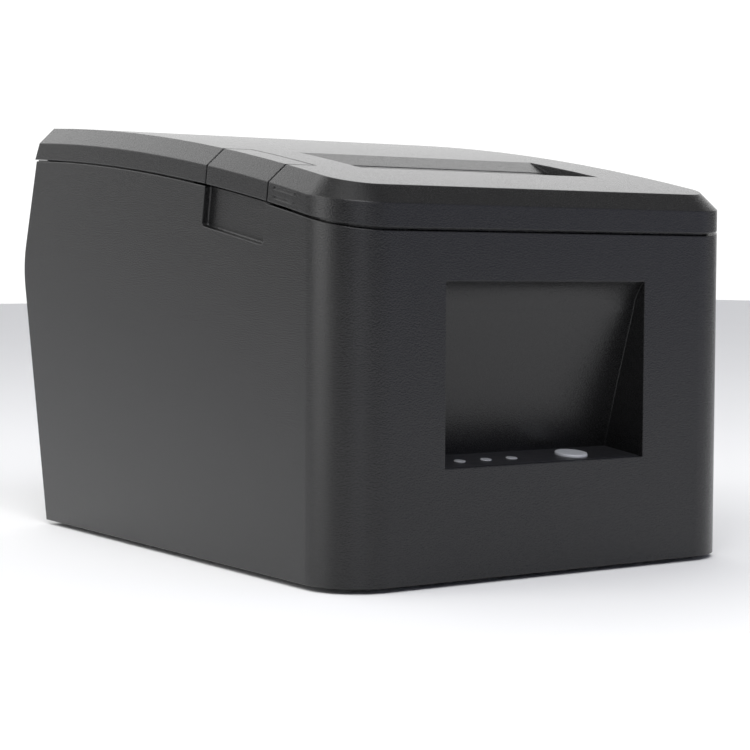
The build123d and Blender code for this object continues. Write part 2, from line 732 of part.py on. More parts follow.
def make_feed_motor():
    distance = MODULE * (PLATEN_TEETH + 2 * IDLER_TEETH + MOTOR_TEETH) / 2
    y, z = feed_point(distance)
    can = rod_x(27.0, PLATE_X, y, z, FEED_MOTOR_R)
    can = chamfer(can.edges().sort_by(Axis.X)[0], 1.2)
    boss = rod_x(PLATE_X - 1, PLATE_X + 1.2, y, z, 4.5)
    lead = block(30, 44, y + 12, y + FEED_MOTOR_R + 3, z - 4, z + 4)
    return can + boss + lead - rod_x(45.0, 60.0, y, z, 1.3)


def make_fixed_blade():
    blade = block(-43.2, 43.2, 0.6, 12.0, 9.3, 10.5)
    edge = slab([(0.0, 9.9), (0.6, 9.2), (1.5, 10.6), (0.0, 10.6)], -50, 50)
    return in_mech(blade - edge)


def make_tear_bar():
    """A steel strip behind the front rim, with a row of teeth along its top edge."""
    teeth = 44
    x0, x1 = -42.0, 44.0
    pitch = (x1 - x0) / teeth
    points = [(x0, 108.0), (x1, 108.0)]
    for i in range(teeth):
        points.append((x1 - i * pitch, 111.6))
        points.append((x1 - (i + 0.5) * pitch, 112.8))
    points.append((x0, 111.6))
    face = make_face(Plane.XZ * Polyline(*points, close=True))
    return Pos(0, WINDOW_FRONT_Y, 0) * extrude(face, 0.8, dir=(0, 1, 0))


def make_carrier_screws():
    screws = []
    for x in (-52.0, 52.0):
        head = rod_z(x, 8.0, 9.6, 11.2, 2.6)
        head += rod_z(x, 8.0, 11.2, 18.6, 1.18)
        slot = block(x - 0.35, x + 0.35, 6.0, 10.0, 9.0, 10.2)
        screws.append(in_mech(head - slot))
    return group(screws)


# ---------------------------------------------------------------- print frame, head and feed
def side_plate():
    """One side plate of the print frame, with the open slot that receives the platen's bush."""
    points = [
        mech_yz(-34.0, 9.0),
        mech_yz(-34.0, -2.0),
        (29.5, 72.0),
        (29.5, 4.4),
        (70.0, 4.4),
        mech_yz(32.0, -12.0),
        mech_yz(32.0, 4.6),
        mech_yz(14.0, 4.6),
        mech_yz(-2.6, 4.6),
        mech_yz(-2.6, 9.0),
    ]
    plate = slab(points, PLATE_X, PLATE_X + PLATE_T)
    flare = 0.7
    slot = [
        (PLATEN_N - 5.1, 0),
        (PLATEN_N + 5.1, 0),
        (PLATEN_N + 5.1 + flare, 12),
        (PLATEN_N - 5.1 - flare, 12),
    ]
    opening = in_mech(slab(slot, PLATE_X - 1, PLATE_X + 3))
    opening += in_mech(rod_x(PLATE_X - 1, PLATE_X + 3, PLATEN_N, 0, 5.1))
    return plate - opening


def make_print_frame():
    plate = side_plate()
    frame = plate + mirror(plate, Plane.YZ)
    frame += in_mech(block(-PLATE_X - 0.5, PLATE_X + 0.5, -19.2, -18.0, -22.0, -1.0))
    frame += block(-PLATE_X - 0.5, PLATE_X + 0.5, 29.5, 66.0, 4.4, 5.6)
    for x in (-25.0, 25.0):
        frame += in_mech(rod_y(x, -18.1, -16.8, -4.0, 1.6))
    y, z = feed_point(MODULE * (PLATEN_TEETH + IDLER_TEETH) / 2)
    frame += rod_x(PLATE_X, 56.4, y, z, 2.0)
    motor_y, motor_z = feed_point(MODULE * (PLATEN_TEETH + 2 * IDLER_TEETH + MOTOR_TEETH) / 2)
    frame -= rod_x(PLATE_X - 1, 60, motor_y, motor_z, 4.5)
    frame -= in_mech(rod_x(-60, 60, HEAD_PIVOT[0], HEAD_PIVOT[1], 1.5))
    frame -= in_mech(rod_x(-60, 60, CUTTER_SHAFT[0], CUTTER_SHAFT[1], 2.06))
    n, u = cutter_motor_point()
    frame -= in_mech(rod_x(-60, -40, n, u, 2.6))
    for x, y in FRAME_HOLES:
        frame -= rod_z(x, y, 3, 7, 1.4)
    return frame


def make_latch_studs():
    stud = rod_x(PLATE_X + PLATE_T, 55.4, STUD[0], STUD[1], 2.0)
    stud += rod_x(PLATE_X + PLATE_T, 51.4, STUD[0], STUD[1], 2.8)
    return mirrored(in_mech(stud))


def make_frame_screws():
    return group(screw(x, y, 5.6, 3.2, head_r=2.5, head_h=1.5, up=-1) for x, y in FRAME_HOLES)


def make_head_bracket():
    plate = block(-44.0, 44.0, -9.2, -7.8, -19.0, 2.4)
    ears = block(-46.0, -43.6, -10.6, -6.6, -23.0, -8.0) + block(43.6, 46.0, -10.6, -6.6, -23.0, -8.0)
    bracket = plate + ears + block(-44.5, 44.5, -9.2, -7.8, -19.0, -12.0)
    return in_mech(bracket - rod_x(-60, 60, HEAD_PIVOT[0], HEAD_PIVOT[1], 1.56))


def make_head_pivot_pin():
    return in_mech(rod_x(-51.0, 51.0, HEAD_PIVOT[0], HEAD_PIVOT[1], 1.5))


def make_heat_sink():
    sink = block(-43.5, 43.5, -7.8, -1.4, -16.0, 2.0)
    for i in range(9):
        u = -15.2 + i * 1.8
        sink -= block(-50, 50, -7.9, -4.4, u, u + 0.9)
    return in_mech(sink + block(-43.5, 43.5, -4.5, -1.4, -16.0, 2.0))


def make_thermal_head():
    strip = block(-43.0, 43.0, -1.4, -0.4, -8.0, 2.0)
    strip += block(-41.0, 41.0, -0.4, -0.1, -0.8, 0.8)
    strip += block(-43.0, 43.0, -1.4, -0.6, -16.0, -8.0)
    strip += block(-38.0, 38.0, -0.6, 0.3, -13.0, -10.0)
    return in_mech(strip)


def make_head_springs():
    """Two coil springs behind the head, each as the sleeve that its coil fills."""
    springs = []
    for x in (-25.0, 25.0):
        sleeve = rod_y(x, -18.0, -9.2, -4.0, 3.0) - rod_y(x, -19, -9, -4.0, 1.9)
        springs.append(in_mech(sleeve))
    return group(springs)


def make_paper_guide():
    """The plate that carries the paper from the well to the print line, under the platen."""
    y, z = mech_yz(1.6, -10.4)
    top = [(83.0, 88.0), (64.0, 85.6), (52.0, 84.4), (y, z)]
    low = [(y + 0.4, z - 1.3), (52.0, 83.0), (64.0, 84.2), (83.0, 86.6)]
    return slab(top + low, -41.5, 41.5)


# ---------------------------------------------------------------- cutter
def cutter_motor_point():
    """The cutter motor's axis in the mechanism's frame: below and in front of the cutter's shaft."""
    distance = MODULE * (CUTTER_TEETH + CUTTER_MOTOR_TEETH) / 2
    back = 4.0
    return (CUTTER_SHAFT[0] - back, CUTTER_SHAFT[1] - math.sqrt(distance ** 2 - back ** 2))


def cutter_motor_angle():
    """Direction from the cutter's shaft to its motor, in degrees from +Y in the mechanism's frame."""
    n, u = cutter_motor_point()
    return math.degrees(math.atan2(u - CUTTER_SHAFT[1], n - CUTTER_SHAFT[0]))


def make_cutter_frame():
    tray = block(-36.0, 36.0, -32.0, -4.0, 6.9, 7.9)
    tray += block(-48.85, 48.85, -33.6, -31.4, 6.9, 10.4)
    for side in (-1, 1):
        low, high = sorted((side * 47.6, side * 48.85))
        tray += block(low, high, -33.6, -20.0, 6.9, 10.4)
    tray += block(-48.85, 48.85, -26.0, -20.0, 9.4, 10.4)
    return in_mech(tray)


def make_moving_blade():
    outline = [
        (-47.2, -31.0),
        (47.2, -31.0),
        (47.2, -7.4),
        (45.2, -5.4),
        (45.2, -2.0),
        (0.0, -3.6),
        (-45.2, -2.0),
        (-45.2, -5.4),
        (-47.2, -7.4),
    ]
    face = make_face(Polyline(*outline, close=True))
    blade = Pos(0, 0, BLADE_U) * extrude(face, 1.2)
    blade -= slab([(-2.6, BLADE_U - 1), (-0.5, BLADE_U - 1), (-0.5, BLADE_U + 0.4)], -60, 60)
    pitch = math.pi * MODULE
    line_u = CUTTER_SHAFT[1] + MODULE * RACK_TEETH / 2
    root_u = line_u + 1.15 * MODULE
    tip_u = line_u - 0.85 * MODULE
    points = [(-29.6, BLADE_U + 0.2), (-29.6, root_u)]
    for i in range(-3, 2):
        middle = CUTTER_SHAFT[0] + (i + 0.5) * pitch
        for share, u in ((-0.32, root_u), (-0.12, tip_u), (0.12, tip_u), (0.32, root_u)):
            points.append((middle + share * pitch, u))
    points += [(-18.0, root_u), (-18.0, BLADE_U + 0.2)]
    for x in (38.0, -41.0):
        blade += slab(points, x, x + 3.0)
    return in_mech(blade)


def make_cutter_shaft():
    n, u = CUTTER_SHAFT
    shaft = in_mech(rod_x(-55.6, 51.4, n, u, 2.0))
    for x in (37.6, -41.4):
        pinion = gear(RACK_TEETH, 3.8, 1.9, 90)
        shaft += in_mech(Pos(x, n, u) * pinion)
    return shaft


def make_cutter_gear():
    n, u = CUTTER_SHAFT
    wheel = gear(CUTTER_TEETH, 4.0, 2.0, cutter_motor_angle())
    return in_mech(Pos(-55.4, n, u) * wheel)


def make_cutter_motor_pinion():
    n, u = cutter_motor_point()
    pinion = gear(CUTTER_MOTOR_TEETH, 4.0, 1.0, cutter_motor_angle() + 180 + 180 / CUTTER_MOTOR_TEETH)
    return in_mech(Pos(-55.4, n, u) * pinion + rod_x(-55.4, -45.0, n, u, 1.1))


def make_cutter_motor():
    n, u = cutter_motor_point()
    can = rod_x(-PLATE_X, -24.0, n, u, CUTTER_MOTOR_R)
    can = chamfer(can.edges().sort_by(Axis.X)[-1], 0.8)
    can += rod_x(-24.1, -22.0, n, u, 2.5)
    return in_mech(can - rod_x(-60, -44.0, n, u, 1.3))


def make_cutter_cover():
    """The moulded cover over the cutter that shows when the lid is up."""
    cover = in_mech(block(-60.0, 60.0, -34.6, -2.9, 10.6, 12.0))
    cover += in_mech(block(-50.4, 50.4, -4.1, -2.9, 9.4, 10.7))
    cover = cover & plan_prism(WALL + 1.9)
    slots = in_mech(block(-60.2, -50.6, -34.7, -10.0, 10, 12.5))
    cover -= slots
    for i in range(5):
        n = -30.0 + i * 2.4
        cover -= in_mech(block(-20.0, 20.0, n, n + 1.0, 11.4, 13))
    return cover


# ---------------------------------------------------------------- paper well and sensors
def make_paper_well():
    """The tub for the roll, with the deck that closes the space round it."""
    inner = rod_x(-WELL_X, WELL_X, WELL_Y, WELL_Z, WELL_R)
    inner += block(-WELL_X, WELL_X, WELL_Y - WELL_R, WELL_Y + WELL_R, WELL_Z, 140)
    outer_r = WELL_R + 2.0
    outer = rod_x(-WELL_X - 2, WELL_X + 2, WELL_Y, WELL_Z, outer_r)
    outer += block(-WELL_X - 2, WELL_X + 2, WELL_Y - outer_r, WELL_Y + outer_r, WELL_Z, 140)
    deck = plan_prism(WELL_DECK_INSET) & rear_prism(WELL_DECK_INSET)
    deck = deck & block(-80, 80, 75, 200, 60, 140)
    deck = deck & under_seam(-5.5, -5.5)
    deck -= under_seam(-7.3, -7.3)
    well = (outer & under_seam(-5.5, -5.5)) + deck
    well -= block(-WELL_X, WELL_X, 70, 86, 88.0, 140)
    well -= in_lever(block(-75, -63.8, -22.0, 21.0, -16.0, 10.0))
    return well - inner


def make_near_end_sensor():
    body = block(-51.0, -WELL_X - 2, 118, 132, 40, 52)
    return body - block(-52, -48, 122, 128, 44, 48)


def make_paper_sensor():
    body = block(-24.0, -14.0, 66.0, 74.0, 79.6, 84.2)
    under_guide = slab([(60, 70), (60, 83.6), (80, 86.1), (80, 70)], -30, 0)
    return body & under_guide


# ---------------------------------------------------------------- electronics
def make_main_board():
    board = block(-58, 58, 76, 168.4, BOARD_Z, BOARD_Z + 1.6)
    for x, y in BOARD_HOLES:
        board -= rod_z(x, y, 5, 12, 1.6)
    top = BOARD_Z + 1.5
    board += block(-12, 12, 104, 128, top, top + 1.6)
    board += block(18, 32, 110, 130, top, top + 1.4)
    board += block(-40, -30, 100, 108, top, top + 1.2)
    board += block(-44, -26, 80, 85, top, top + 6)
    board += block(26, 44, 80, 85, top, top + 6)
    for x in (-52, -42):
        board += rod_z(x, 122, top, top + 9, 4.0)
    board += rod_z(42, 142, top, top + 8, 5.0)
    return board


def make_board_screws():
    return group(screw(x, y, BOARD_Z + 1.6, 5.4, head_r=2.8, head_h=1.6, up=-1) for x, y in BOARD_HOLES)


def socket_body(x, width, height, y0=SOCKET_Y):
    """A socket's housing on the board, flush through the rear panel."""
    return block(x - width / 2, x + width / 2, y0, SOCKET_FACE, BOARD_Z + 1.6, BOARD_Z + 1.6 + height)


def make_power_inlet():
    body = socket_body(INLET_X, 13.6, 12.4)
    mid_z = BOARD_Z + 1.6 + 6.4
    body -= rod_y(INLET_X, SOCKET_FACE - 8.5, SOCKET_FACE + 1, mid_z, 4.9)
    for angle in (90, 210, 330):
        a = math.radians(angle)
        x = INLET_X + 2.4 * math.cos(a)
        body += rod_y(x, SOCKET_FACE - 9, SOCKET_FACE - 4.6, mid_z + 2.4 * math.sin(a), 0.6)
    return body


def make_network_socket():
    body = socket_body(NETWORK_X, 16.0, 13.4, 152.0)
    z = BOARD_Z + 1.6
    y0 = SOCKET_FACE - 13
    y1 = SOCKET_FACE + 1
    body -= block(NETWORK_X - 5.9, NETWORK_X + 5.9, y0, y1, z + 2.4, z + 9.2)
    return body - block(NETWORK_X - 3.0, NETWORK_X + 3.0, y0, y1, z + 9.1, z + 11.4)


def make_usb_socket():
    body = socket_body(USB_X, 12.0, 11.0)
    z = BOARD_Z + 1.6
    body -= block(USB_X - 4.25, USB_X + 4.25, SOCKET_FACE - 9, SOCKET_FACE + 1, z + 1.8, z + 9.6)
    return body + block(USB_X - 2.8, USB_X + 2.8, SOCKET_FACE - 9.5, SOCKET_FACE - 1, z + 7.6, z + 8.6)


def make_serial_socket():
    z = BOARD_Z + 1.6
    body = socket_body(SERIAL_X, 30.8, 12.5, 160.0) & block(-90, 90, 150, PANEL_Y, 0, 60)
    body += block(SERIAL_X - 8.4, SERIAL_X + 8.4, 165, PANEL_Y + 6, z + 2.0, z + 10.4)
    for i in range(5):
        body -= rod_y(SERIAL_X - 5.5 + i * 2.75, PANEL_Y, PANEL_Y + 8, z + 7.6, 0.6)
    for i in range(4):
        body -= rod_y(SERIAL_X - 4.1 + i * 2.75, PANEL_Y, PANEL_Y + 8, z + 4.8, 0.6)
    return body


def make_drawer_socket():
    body = socket_body(DRAWER_X, 12.6, 11.8, 154.0)
    z = BOARD_Z + 1.6
    y0 = SOCKET_FACE - 11
    y1 = SOCKET_FACE + 1
    body -= block(DRAWER_X - 4.9, DRAWER_X + 4.9, y0, y1, z + 2.0, z + 8.6)
    return body - block(DRAWER_X - 2.2, DRAWER_X + 2.2, y0, y1, z + 8.5, z + 10.4)


def make_rear_panel():
    panel = block(-64, 64, PANEL_Y, PANEL_Y + 1.5, 1.9, 34)
    z = BOARD_Z + 1.6
    gap = 0.15
    for x, width, height in (
        (INLET_X, 13.6, 12.4),
        (NETWORK_X, 16.0, 13.4),
        (USB_X, 12.0, 11.0),
        (SERIAL_X, 16.8, 10.6),
        (DRAWER_X, 12.6, 11.8),
    ):
        low = z - gap if x != SERIAL_X else z + 2.0 - gap
        high = z + height + gap
        panel -= block(x - width / 2 - gap, x + width / 2 + gap, PANEL_Y - 1, PANEL_Y + 3, low, high)
    panel -= block(SWITCH_X - 9.6, SWITCH_X + 9.6, PANEL_Y - 1, PANEL_Y + 3, 12.4, 25.6)
    for x in (-41.4, -23.0, -4.6, 43.6):
        panel -= rod_y(x, PANEL_Y - 1, PANEL_Y + 3, 30.0, 0.9)
    return panel


def make_power_switch():
    body = block(SWITCH_X - 9.5, SWITCH_X + 9.5, PANEL_Y - 12, PANEL_Y + 1.5, 12.5, 25.5)
    body += block(SWITCH_X - 10.4, SWITCH_X + 10.4, PANEL_Y + 1.5, PANEL_Y + 2.7, 11.6, 26.4)
    body -= block(SWITCH_X - 8.0, SWITCH_X + 8.0, PANEL_Y - 8.2, PANEL_Y + 3, 13.9, 24.1)
    for x in (-5, 0, 5):
        body += block(SWITCH_X + x - 1.2, SWITCH_X + x + 1.2, PANEL_Y - 17, PANEL_Y - 11.9, 17, 17.8)
    return body - rod_z(SWITCH_X, ROCKER_Y - 1, 12, 26, 0.8)


def make_power_rocker():
    barrel = Cylinder(7.6, 10.0)
    key = barrel & Box(15.6, 15.6, 10.0)
    key = key & Pos(0, 3.0, 0) * Box(20, 11.2, 10.0)
    for side in (-1, 1):
        key -= Rot(0, 0, side * ROCKER_TILT) * Pos(side * 6, 10.4, 0) * Box(14, 12, 12)
    key += Cylinder(0.75, 11.4)
    return Pos(SWITCH_X, ROCKER_Y - 1, ROCKER_Z) * Rot(0, 0, ROCKER_TILT) * key


# ---------------------------------------------------------------- all pieces
def pieces():
    """Every node's name and the function that makes it."""
    return {
        "case": make_case,
        "base_plate": make_base_plate,
        "feet": make_feet,
        "base_screws": make_base_screws,
        "control_panel": make_control_panel,
        "indicator_power": lambda: make_lens(LENS_X[0]),
        "indicator_error": lambda: make_lens(LENS_X[1]),
        "indicator_paper": lambda: make_lens(LENS_X[2]),
        "feed_button": make_feed_button,
        "panel_board": make_panel_board,
        "tact_switch": make_tact_switch,
        "lid": make_lid,
        "paper_chute": make_paper_chute,
        "release_lever": make_release_lever,
        "lever_pin": make_lever_pin,
        "lever_spring": make_lever_spring,
        "latch_shaft": make_latch_shaft,
        "latch_hook_left": lambda: make_latch_hook(-1),
        "latch_hook_right": lambda: make_latch_hook(1),
        "hinge_pins": make_hinge_pins,
        "platen_carrier": make_platen_carrier,
        "platen_bushes": make_platen_bushes,
        "platen_shaft": make_platen_shaft,
        "platen_rubber": make_platen_rubber,
        "platen_gear": make_platen_gear,
        "fixed_blade": make_fixed_blade,
        "tear_bar": make_tear_bar,
        "carrier_screws": make_carrier_screws,
        "print_frame": make_print_frame,
        "latch_studs": make_latch_studs,
        "frame_screws": make_frame_screws,
        "head_bracket": make_head_bracket,
        "head_pivot_pin": make_head_pivot_pin,
        "heat_sink": make_heat_sink,
        "thermal_head": make_thermal_head,
        "head_springs": make_head_springs,
        "idler_gear": make_idler_gear,
        "motor_pinion": make_motor_pinion,
        "feed_motor": make_feed_motor,
        "paper_guide": make_paper_guide,
        "cutter_frame": make_cutter_frame,
        "moving_blade": make_moving_blade,
        "cutter_shaft": make_cutter_shaft,
        "cutter_gear": make_cutter_gear,
        "cutter_motor_pinion": make_cutter_motor_pinion,
        "cutter_motor": make_cutter_motor,
        "cutter_cover": make_cutter_cover,
        "paper_well": make_paper_well,
        "near_end_sensor": make_near_end_sensor,
        "paper_sensor": make_paper_sensor,
        "main_board": make_main_board,
        "board_screws": make_board_screws,
        "rear_panel": make_rear_panel,
        "power_switch": make_power_switch,
        "power_rocker": make_power_rocker,
        "power_inlet": make_power_inlet,
        "network_socket": make_network_socket,
        "usb_socket": make_usb_socket,
        "serial_socket": make_serial_socket,
        "drawer_socket": make_drawer_socket,
    }


def save(name, shape, shift):
    solids = [solid.moved(Location(shift)) for solid in shape.solids()]
    export_step(solids[0] if len(solids) == 1 else Compound(solids), f"parts/{name}.step")


def main():
    os.makedirs("parts", exist_ok=True)
    made = {name: make() for name, make in pieces().items()}
    box = made["case"].bounding_box()
    shift = (0, -(box.min.Y + box.max.Y) / 2, FOOT_HEIGHT)
    print("shift", shift)
    for name, shape in made.items():
        save(name, shape, shift)


main()
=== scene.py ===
import json
import math

import bpy
import bmesh
from mathutils import Matrix, Vector


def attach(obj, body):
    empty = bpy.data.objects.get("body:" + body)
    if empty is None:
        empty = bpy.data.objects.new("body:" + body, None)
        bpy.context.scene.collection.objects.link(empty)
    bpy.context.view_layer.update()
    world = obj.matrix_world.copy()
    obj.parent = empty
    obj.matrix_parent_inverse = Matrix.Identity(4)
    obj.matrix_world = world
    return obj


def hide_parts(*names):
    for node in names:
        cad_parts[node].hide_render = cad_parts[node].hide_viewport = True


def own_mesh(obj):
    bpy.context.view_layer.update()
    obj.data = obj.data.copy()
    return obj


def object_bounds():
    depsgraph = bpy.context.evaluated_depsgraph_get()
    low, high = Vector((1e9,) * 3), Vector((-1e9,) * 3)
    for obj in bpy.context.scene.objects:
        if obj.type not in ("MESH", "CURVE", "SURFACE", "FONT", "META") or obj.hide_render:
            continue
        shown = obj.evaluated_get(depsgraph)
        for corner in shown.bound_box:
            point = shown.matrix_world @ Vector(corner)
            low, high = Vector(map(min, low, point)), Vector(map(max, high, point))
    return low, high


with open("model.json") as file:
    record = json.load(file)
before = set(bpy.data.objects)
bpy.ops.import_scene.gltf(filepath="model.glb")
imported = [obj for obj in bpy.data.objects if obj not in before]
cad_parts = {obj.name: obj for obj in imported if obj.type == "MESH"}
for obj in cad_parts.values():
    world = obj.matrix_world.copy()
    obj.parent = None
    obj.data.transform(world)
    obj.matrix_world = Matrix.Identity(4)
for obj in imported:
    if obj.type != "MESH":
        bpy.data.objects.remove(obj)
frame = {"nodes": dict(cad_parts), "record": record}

CAD_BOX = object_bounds()
NODES = frame["nodes"]

MM = 0.001
FRONT_FACE = round(float(CAD_BOX[0][1]), 5)   # Y of the case's front face in the frame, in metres
FOOT_HEIGHT = 1.5 * MM                        # the case's underside stands this far above the floor
SHIFT = Vector((0.0, FRONT_FACE, FOOT_HEIGHT))

# ---------------------------------------------------------------- node helpers


def new_material(name):
    """An empty node material: (material, tree, shader)."""
    mat = bpy.data.materials.new(name)
    mat.use_nodes = True
    tree = mat.node_tree
    tree.nodes.clear()
    out = tree.nodes.new("ShaderNodeOutputMaterial")
    shader = tree.nodes.new("ShaderNodeBsdfPrincipled")
    tree.links.new(shader.outputs[0], out.inputs[0])
    return mat, tree, shader


def put(tree, socket, value):
    """Sets a socket to a number or colour, or links another socket into it."""
    if isinstance(value, bpy.types.NodeSocket):
        tree.links.new(value, socket)
    else:
        socket.default_value = value


def place(tree, stretch=(1.0, 1.0, 1.0)):
    """The piece's own coordinates, stretched."""
    coord = tree.nodes.new("ShaderNodeTexCoord")
    mapping = tree.nodes.new("ShaderNodeMapping")
    mapping.inputs["Scale"].default_value = stretch
    tree.links.new(coord.outputs["Object"], mapping.inputs["Vector"])
    return mapping.outputs["Vector"]


def noise(tree, vector, scale, detail=2.0, rough=0.5):
    """Cloudy noise around 0.5."""
    n = tree.nodes.new("ShaderNodeTexNoise")
    put(tree, n.inputs["Vector"], vector)
    n.inputs["Scale"].default_value = scale
    n.inputs["Detail"].default_value = detail
    n.inputs["Roughness"].default_value = rough
    return n.outputs["Fac"]


def cells(tree, vector, scale, feature="F1"):
    """Distance to the nearest cell point, or to the edges between cells."""
    n = tree.nodes.new("ShaderNodeTexVoronoi")
    n.feature = feature
    put(tree, n.inputs["Vector"], vector)
    n.inputs["Scale"].default_value = scale
    return n.outputs["Distance"]


def remap(tree, value, low, high, to_low, to_high, interpolation="LINEAR"):
    """Turns the range low to high into to_low to to_high, held at both ends."""
    n = tree.nodes.new("ShaderNodeMapRange")
    n.interpolation_type = interpolation
    put(tree, n.inputs["Value"], value)
    for name, number in (("From Min", low), ("From Max", high), ("To Min", to_low), ("To Max", to_high)):
        n.inputs[name].default_value = number
    return n.outputs["Result"]


def spread(tree, cloud, to_low, to_high):
    """The middle of a noise's range, spread over to_low to to_high."""
    return remap(tree, cloud, 0.3, 0.7, to_low, to_high)


def calc(tree, operation, a, b):
    n = tree.nodes.new("ShaderNodeMath")
    n.operation = operation
    put(tree, n.inputs[0], a)
    put(tree, n.inputs[1], b)
    return n.outputs[0]


def blend_colour(tree, share, a, b):
    """Colour a where share is 0, colour b where it is 1."""
    n = tree.nodes.new("ShaderNodeMix")
    n.data_type = "RGBA"
    put(tree, n.inputs["Factor"], share)
    put(tree, n.inputs[6], a)
    put(tree, n.inputs[7], b)
    return n.outputs[2]


def soft_edges(tree, radius):
    """Rounded-edge normals, and how much an edge is turned there."""
    bevel = tree.nodes.new("ShaderNodeBevel")
    bevel.samples = 4
    bevel.inputs["Radius"].default_value = radius
    geometry = tree.nodes.new("ShaderNodeNewGeometry")
    dot = tree.nodes.new("ShaderNodeVectorMath")
    dot.operation = "DOT_PRODUCT"
    tree.links.new(bevel.outputs["Normal"], dot.inputs[0])
    tree.links.new(geometry.outputs["Normal"], dot.inputs[1])
    return bevel.outputs["Normal"], remap(tree, dot.outputs["Value"], 0.995, 0.80, 0.0, 1.0)


def edge_wear_and_highlight(tree, edge, amount, base, rubbed_and_highlit):
    """The base colour, going over to a lighter one at the edges: partly worn, partly a painted edge
    highlight.
    """
    return blend_colour(tree, calc(tree, "MULTIPLY", edge, amount), base, rubbed_and_highlit)


def bump(tree, height, strength, depth, normal):
    n = tree.nodes.new("ShaderNodeBump")
    n.inputs["Strength"].default_value = strength
    n.inputs["Distance"].default_value = depth
    put(tree, n.inputs["Height"], height)
    put(tree, n.inputs["Normal"], normal)
    return n.outputs["Normal"]


def rgba(r, g, b):
    return (r, g, b, 1.0)


def shade(colour, factor):
    return rgba(*(min(1.0, c * factor) for c in colour))


# ---------------------------------------------------------------- materials


def textured_plastic(name, colour, rough, grain, depth, radius=0.0003, strength=0.6):
    """Moulded plastic with a spark-eroded texture: fine pits, a slight mottle and lighter edges, partly
    worn and partly a painted highlight.
    """
    mat, tree, shader = new_material(name)
    where = place(tree)
    pits = cells(tree, where, grain)
    fine = noise(tree, where, grain * 1.7, 3.0, 0.6)
    height = calc(tree, "ADD", remap(tree, pits, 0.0, 0.7, 0.0, 0.6), calc(tree, "MULTIPLY", fine, 0.5))
    normal, edge = soft_edges(tree, radius)
    put(tree, shader.inputs["Normal"], bump(tree, height, strength, depth, normal))
    mottle = spread(tree, noise(tree, where, 60.0, 4.0, 0.6), 0.0, 1.0)
    base = blend_colour(tree, mottle, shade(colour, 0.9), shade(colour, 1.1))
    speck = remap(tree, fine, 0.45, 0.75, 0.0, 0.35)
    base = blend_colour(tree, speck, base, shade(colour, 1.5))
    # the edges are painted lighter: partly worn, partly a painted edge highlight
    base = edge_wear_and_highlight(tree, edge, 0.5, base, shade(colour, 2.2))
    put(tree, shader.inputs["Base Color"], base)
    gloss = spread(tree, fine, rough - 0.06, rough + 0.06)
    polish = calc(tree, "MULTIPLY", edge, 0.08)
    put(tree, shader.inputs["Roughness"], calc(tree, "SUBTRACT", gloss, polish))
    shader.inputs["IOR"].default_value = 1.47
    return mat


# the last argument sets how much lighter the edges are painted: worn edges plus a painted highlight
def smooth_plastic(name, colour, rough, radius=0.0002, wear_and_highlight=1.6):
    """Moulded plastic with a plain satin surface: faint flow marks and fine scuffs."""
    mat, tree, shader = new_material(name)
    where = place(tree)
    flow = noise(tree, place(tree, (1.0, 0.25, 1.0)), 90.0, 3.0, 0.55)
    scuff = noise(tree, place(tree, (0.15, 1.0, 1.0)), 1500.0, 2.0, 0.6)
    normal, edge = soft_edges(tree, radius)
    height = calc(tree, "ADD", noise(tree, where, 1800.0), calc(tree, "MULTIPLY", scuff, 0.5))
    put(tree, shader.inputs["Normal"], bump(tree, height, 0.25, 0.00002, normal))
    base = blend_colour(tree, flow, shade(colour, 0.85), shade(colour, 1.15))
    # the edges are painted lighter: partly worn, partly a painted edge highlight
    base = edge_wear_and_highlight(tree, edge, 0.5, base, shade(colour, wear_and_highlight))
    put(tree, shader.inputs["Base Color"], base)
    put(tree, shader.inputs["Roughness"], spread(tree, scuff, rough - 0.05, rough + 0.07))
    return mat


def brushed_metal(name, colour, rough, stretch, scale=900.0):
    """Rolled, drawn or ground metal: grain in one direction, light tarnish and edges painted bright,
    partly worn and partly a painted highlight.
    """
    mat, tree, shader = new_material(name)
    grain = noise(tree, place(tree, stretch), scale, 3.0, 0.6)
    tarnish = noise(tree, place(tree), 70.0, 4.0, 0.6)
    normal, edge = soft_edges(tree, 0.00015)
    put(tree, shader.inputs["Normal"], bump(tree, grain, 0.3, 0.000015, normal))
    base = blend_colour(tree, tarnish, shade(colour, 0.88), shade(colour, 1.12))
    # the edges are painted brighter: partly worn, partly a painted edge highlight
    base = edge_wear_and_highlight(tree, edge, 0.6, base, shade(colour, 1.25))
    put(tree, shader.inputs["Base Color"], base)
    put(tree, shader.inputs["Roughness"], remap(tree, grain, 0.25, 0.75, rough - 0.08, rough + 0.1))
    shader.inputs["Metallic"].default_value = 1.0
    return mat


def rubber(name, colour, rough, grain=1400.0):
    """Matt rubber with a toothed surface and patches of dust."""
    mat, tree, shader = new_material(name)
    where = place(tree)
    dust = noise(tree, where, 240.0, 4.0, 0.65)
    tooth = noise(tree, where, grain, 3.0, 0.7)
    normal, edge = soft_edges(tree, 0.0003)
    put(tree, shader.inputs["Normal"], bump(tree, tooth, 0.5, 0.00004, normal))
    dusty = remap(tree, dust, 0.4, 0.75, 0.0, 1.0)
    base = blend_colour(tree, dusty, rgba(*colour), shade(colour, 1.9))
    # the edges are painted lighter: partly worn, partly a painted edge highlight
    base = edge_wear_and_highlight(tree, edge, 0.4, base, shade(colour, 2.0))
    put(tree, shader.inputs["Base Color"], base)
    put(tree, shader.inputs["Roughness"], spread(tree, tooth, rough - 0.06, rough + 0.06))
    return mat


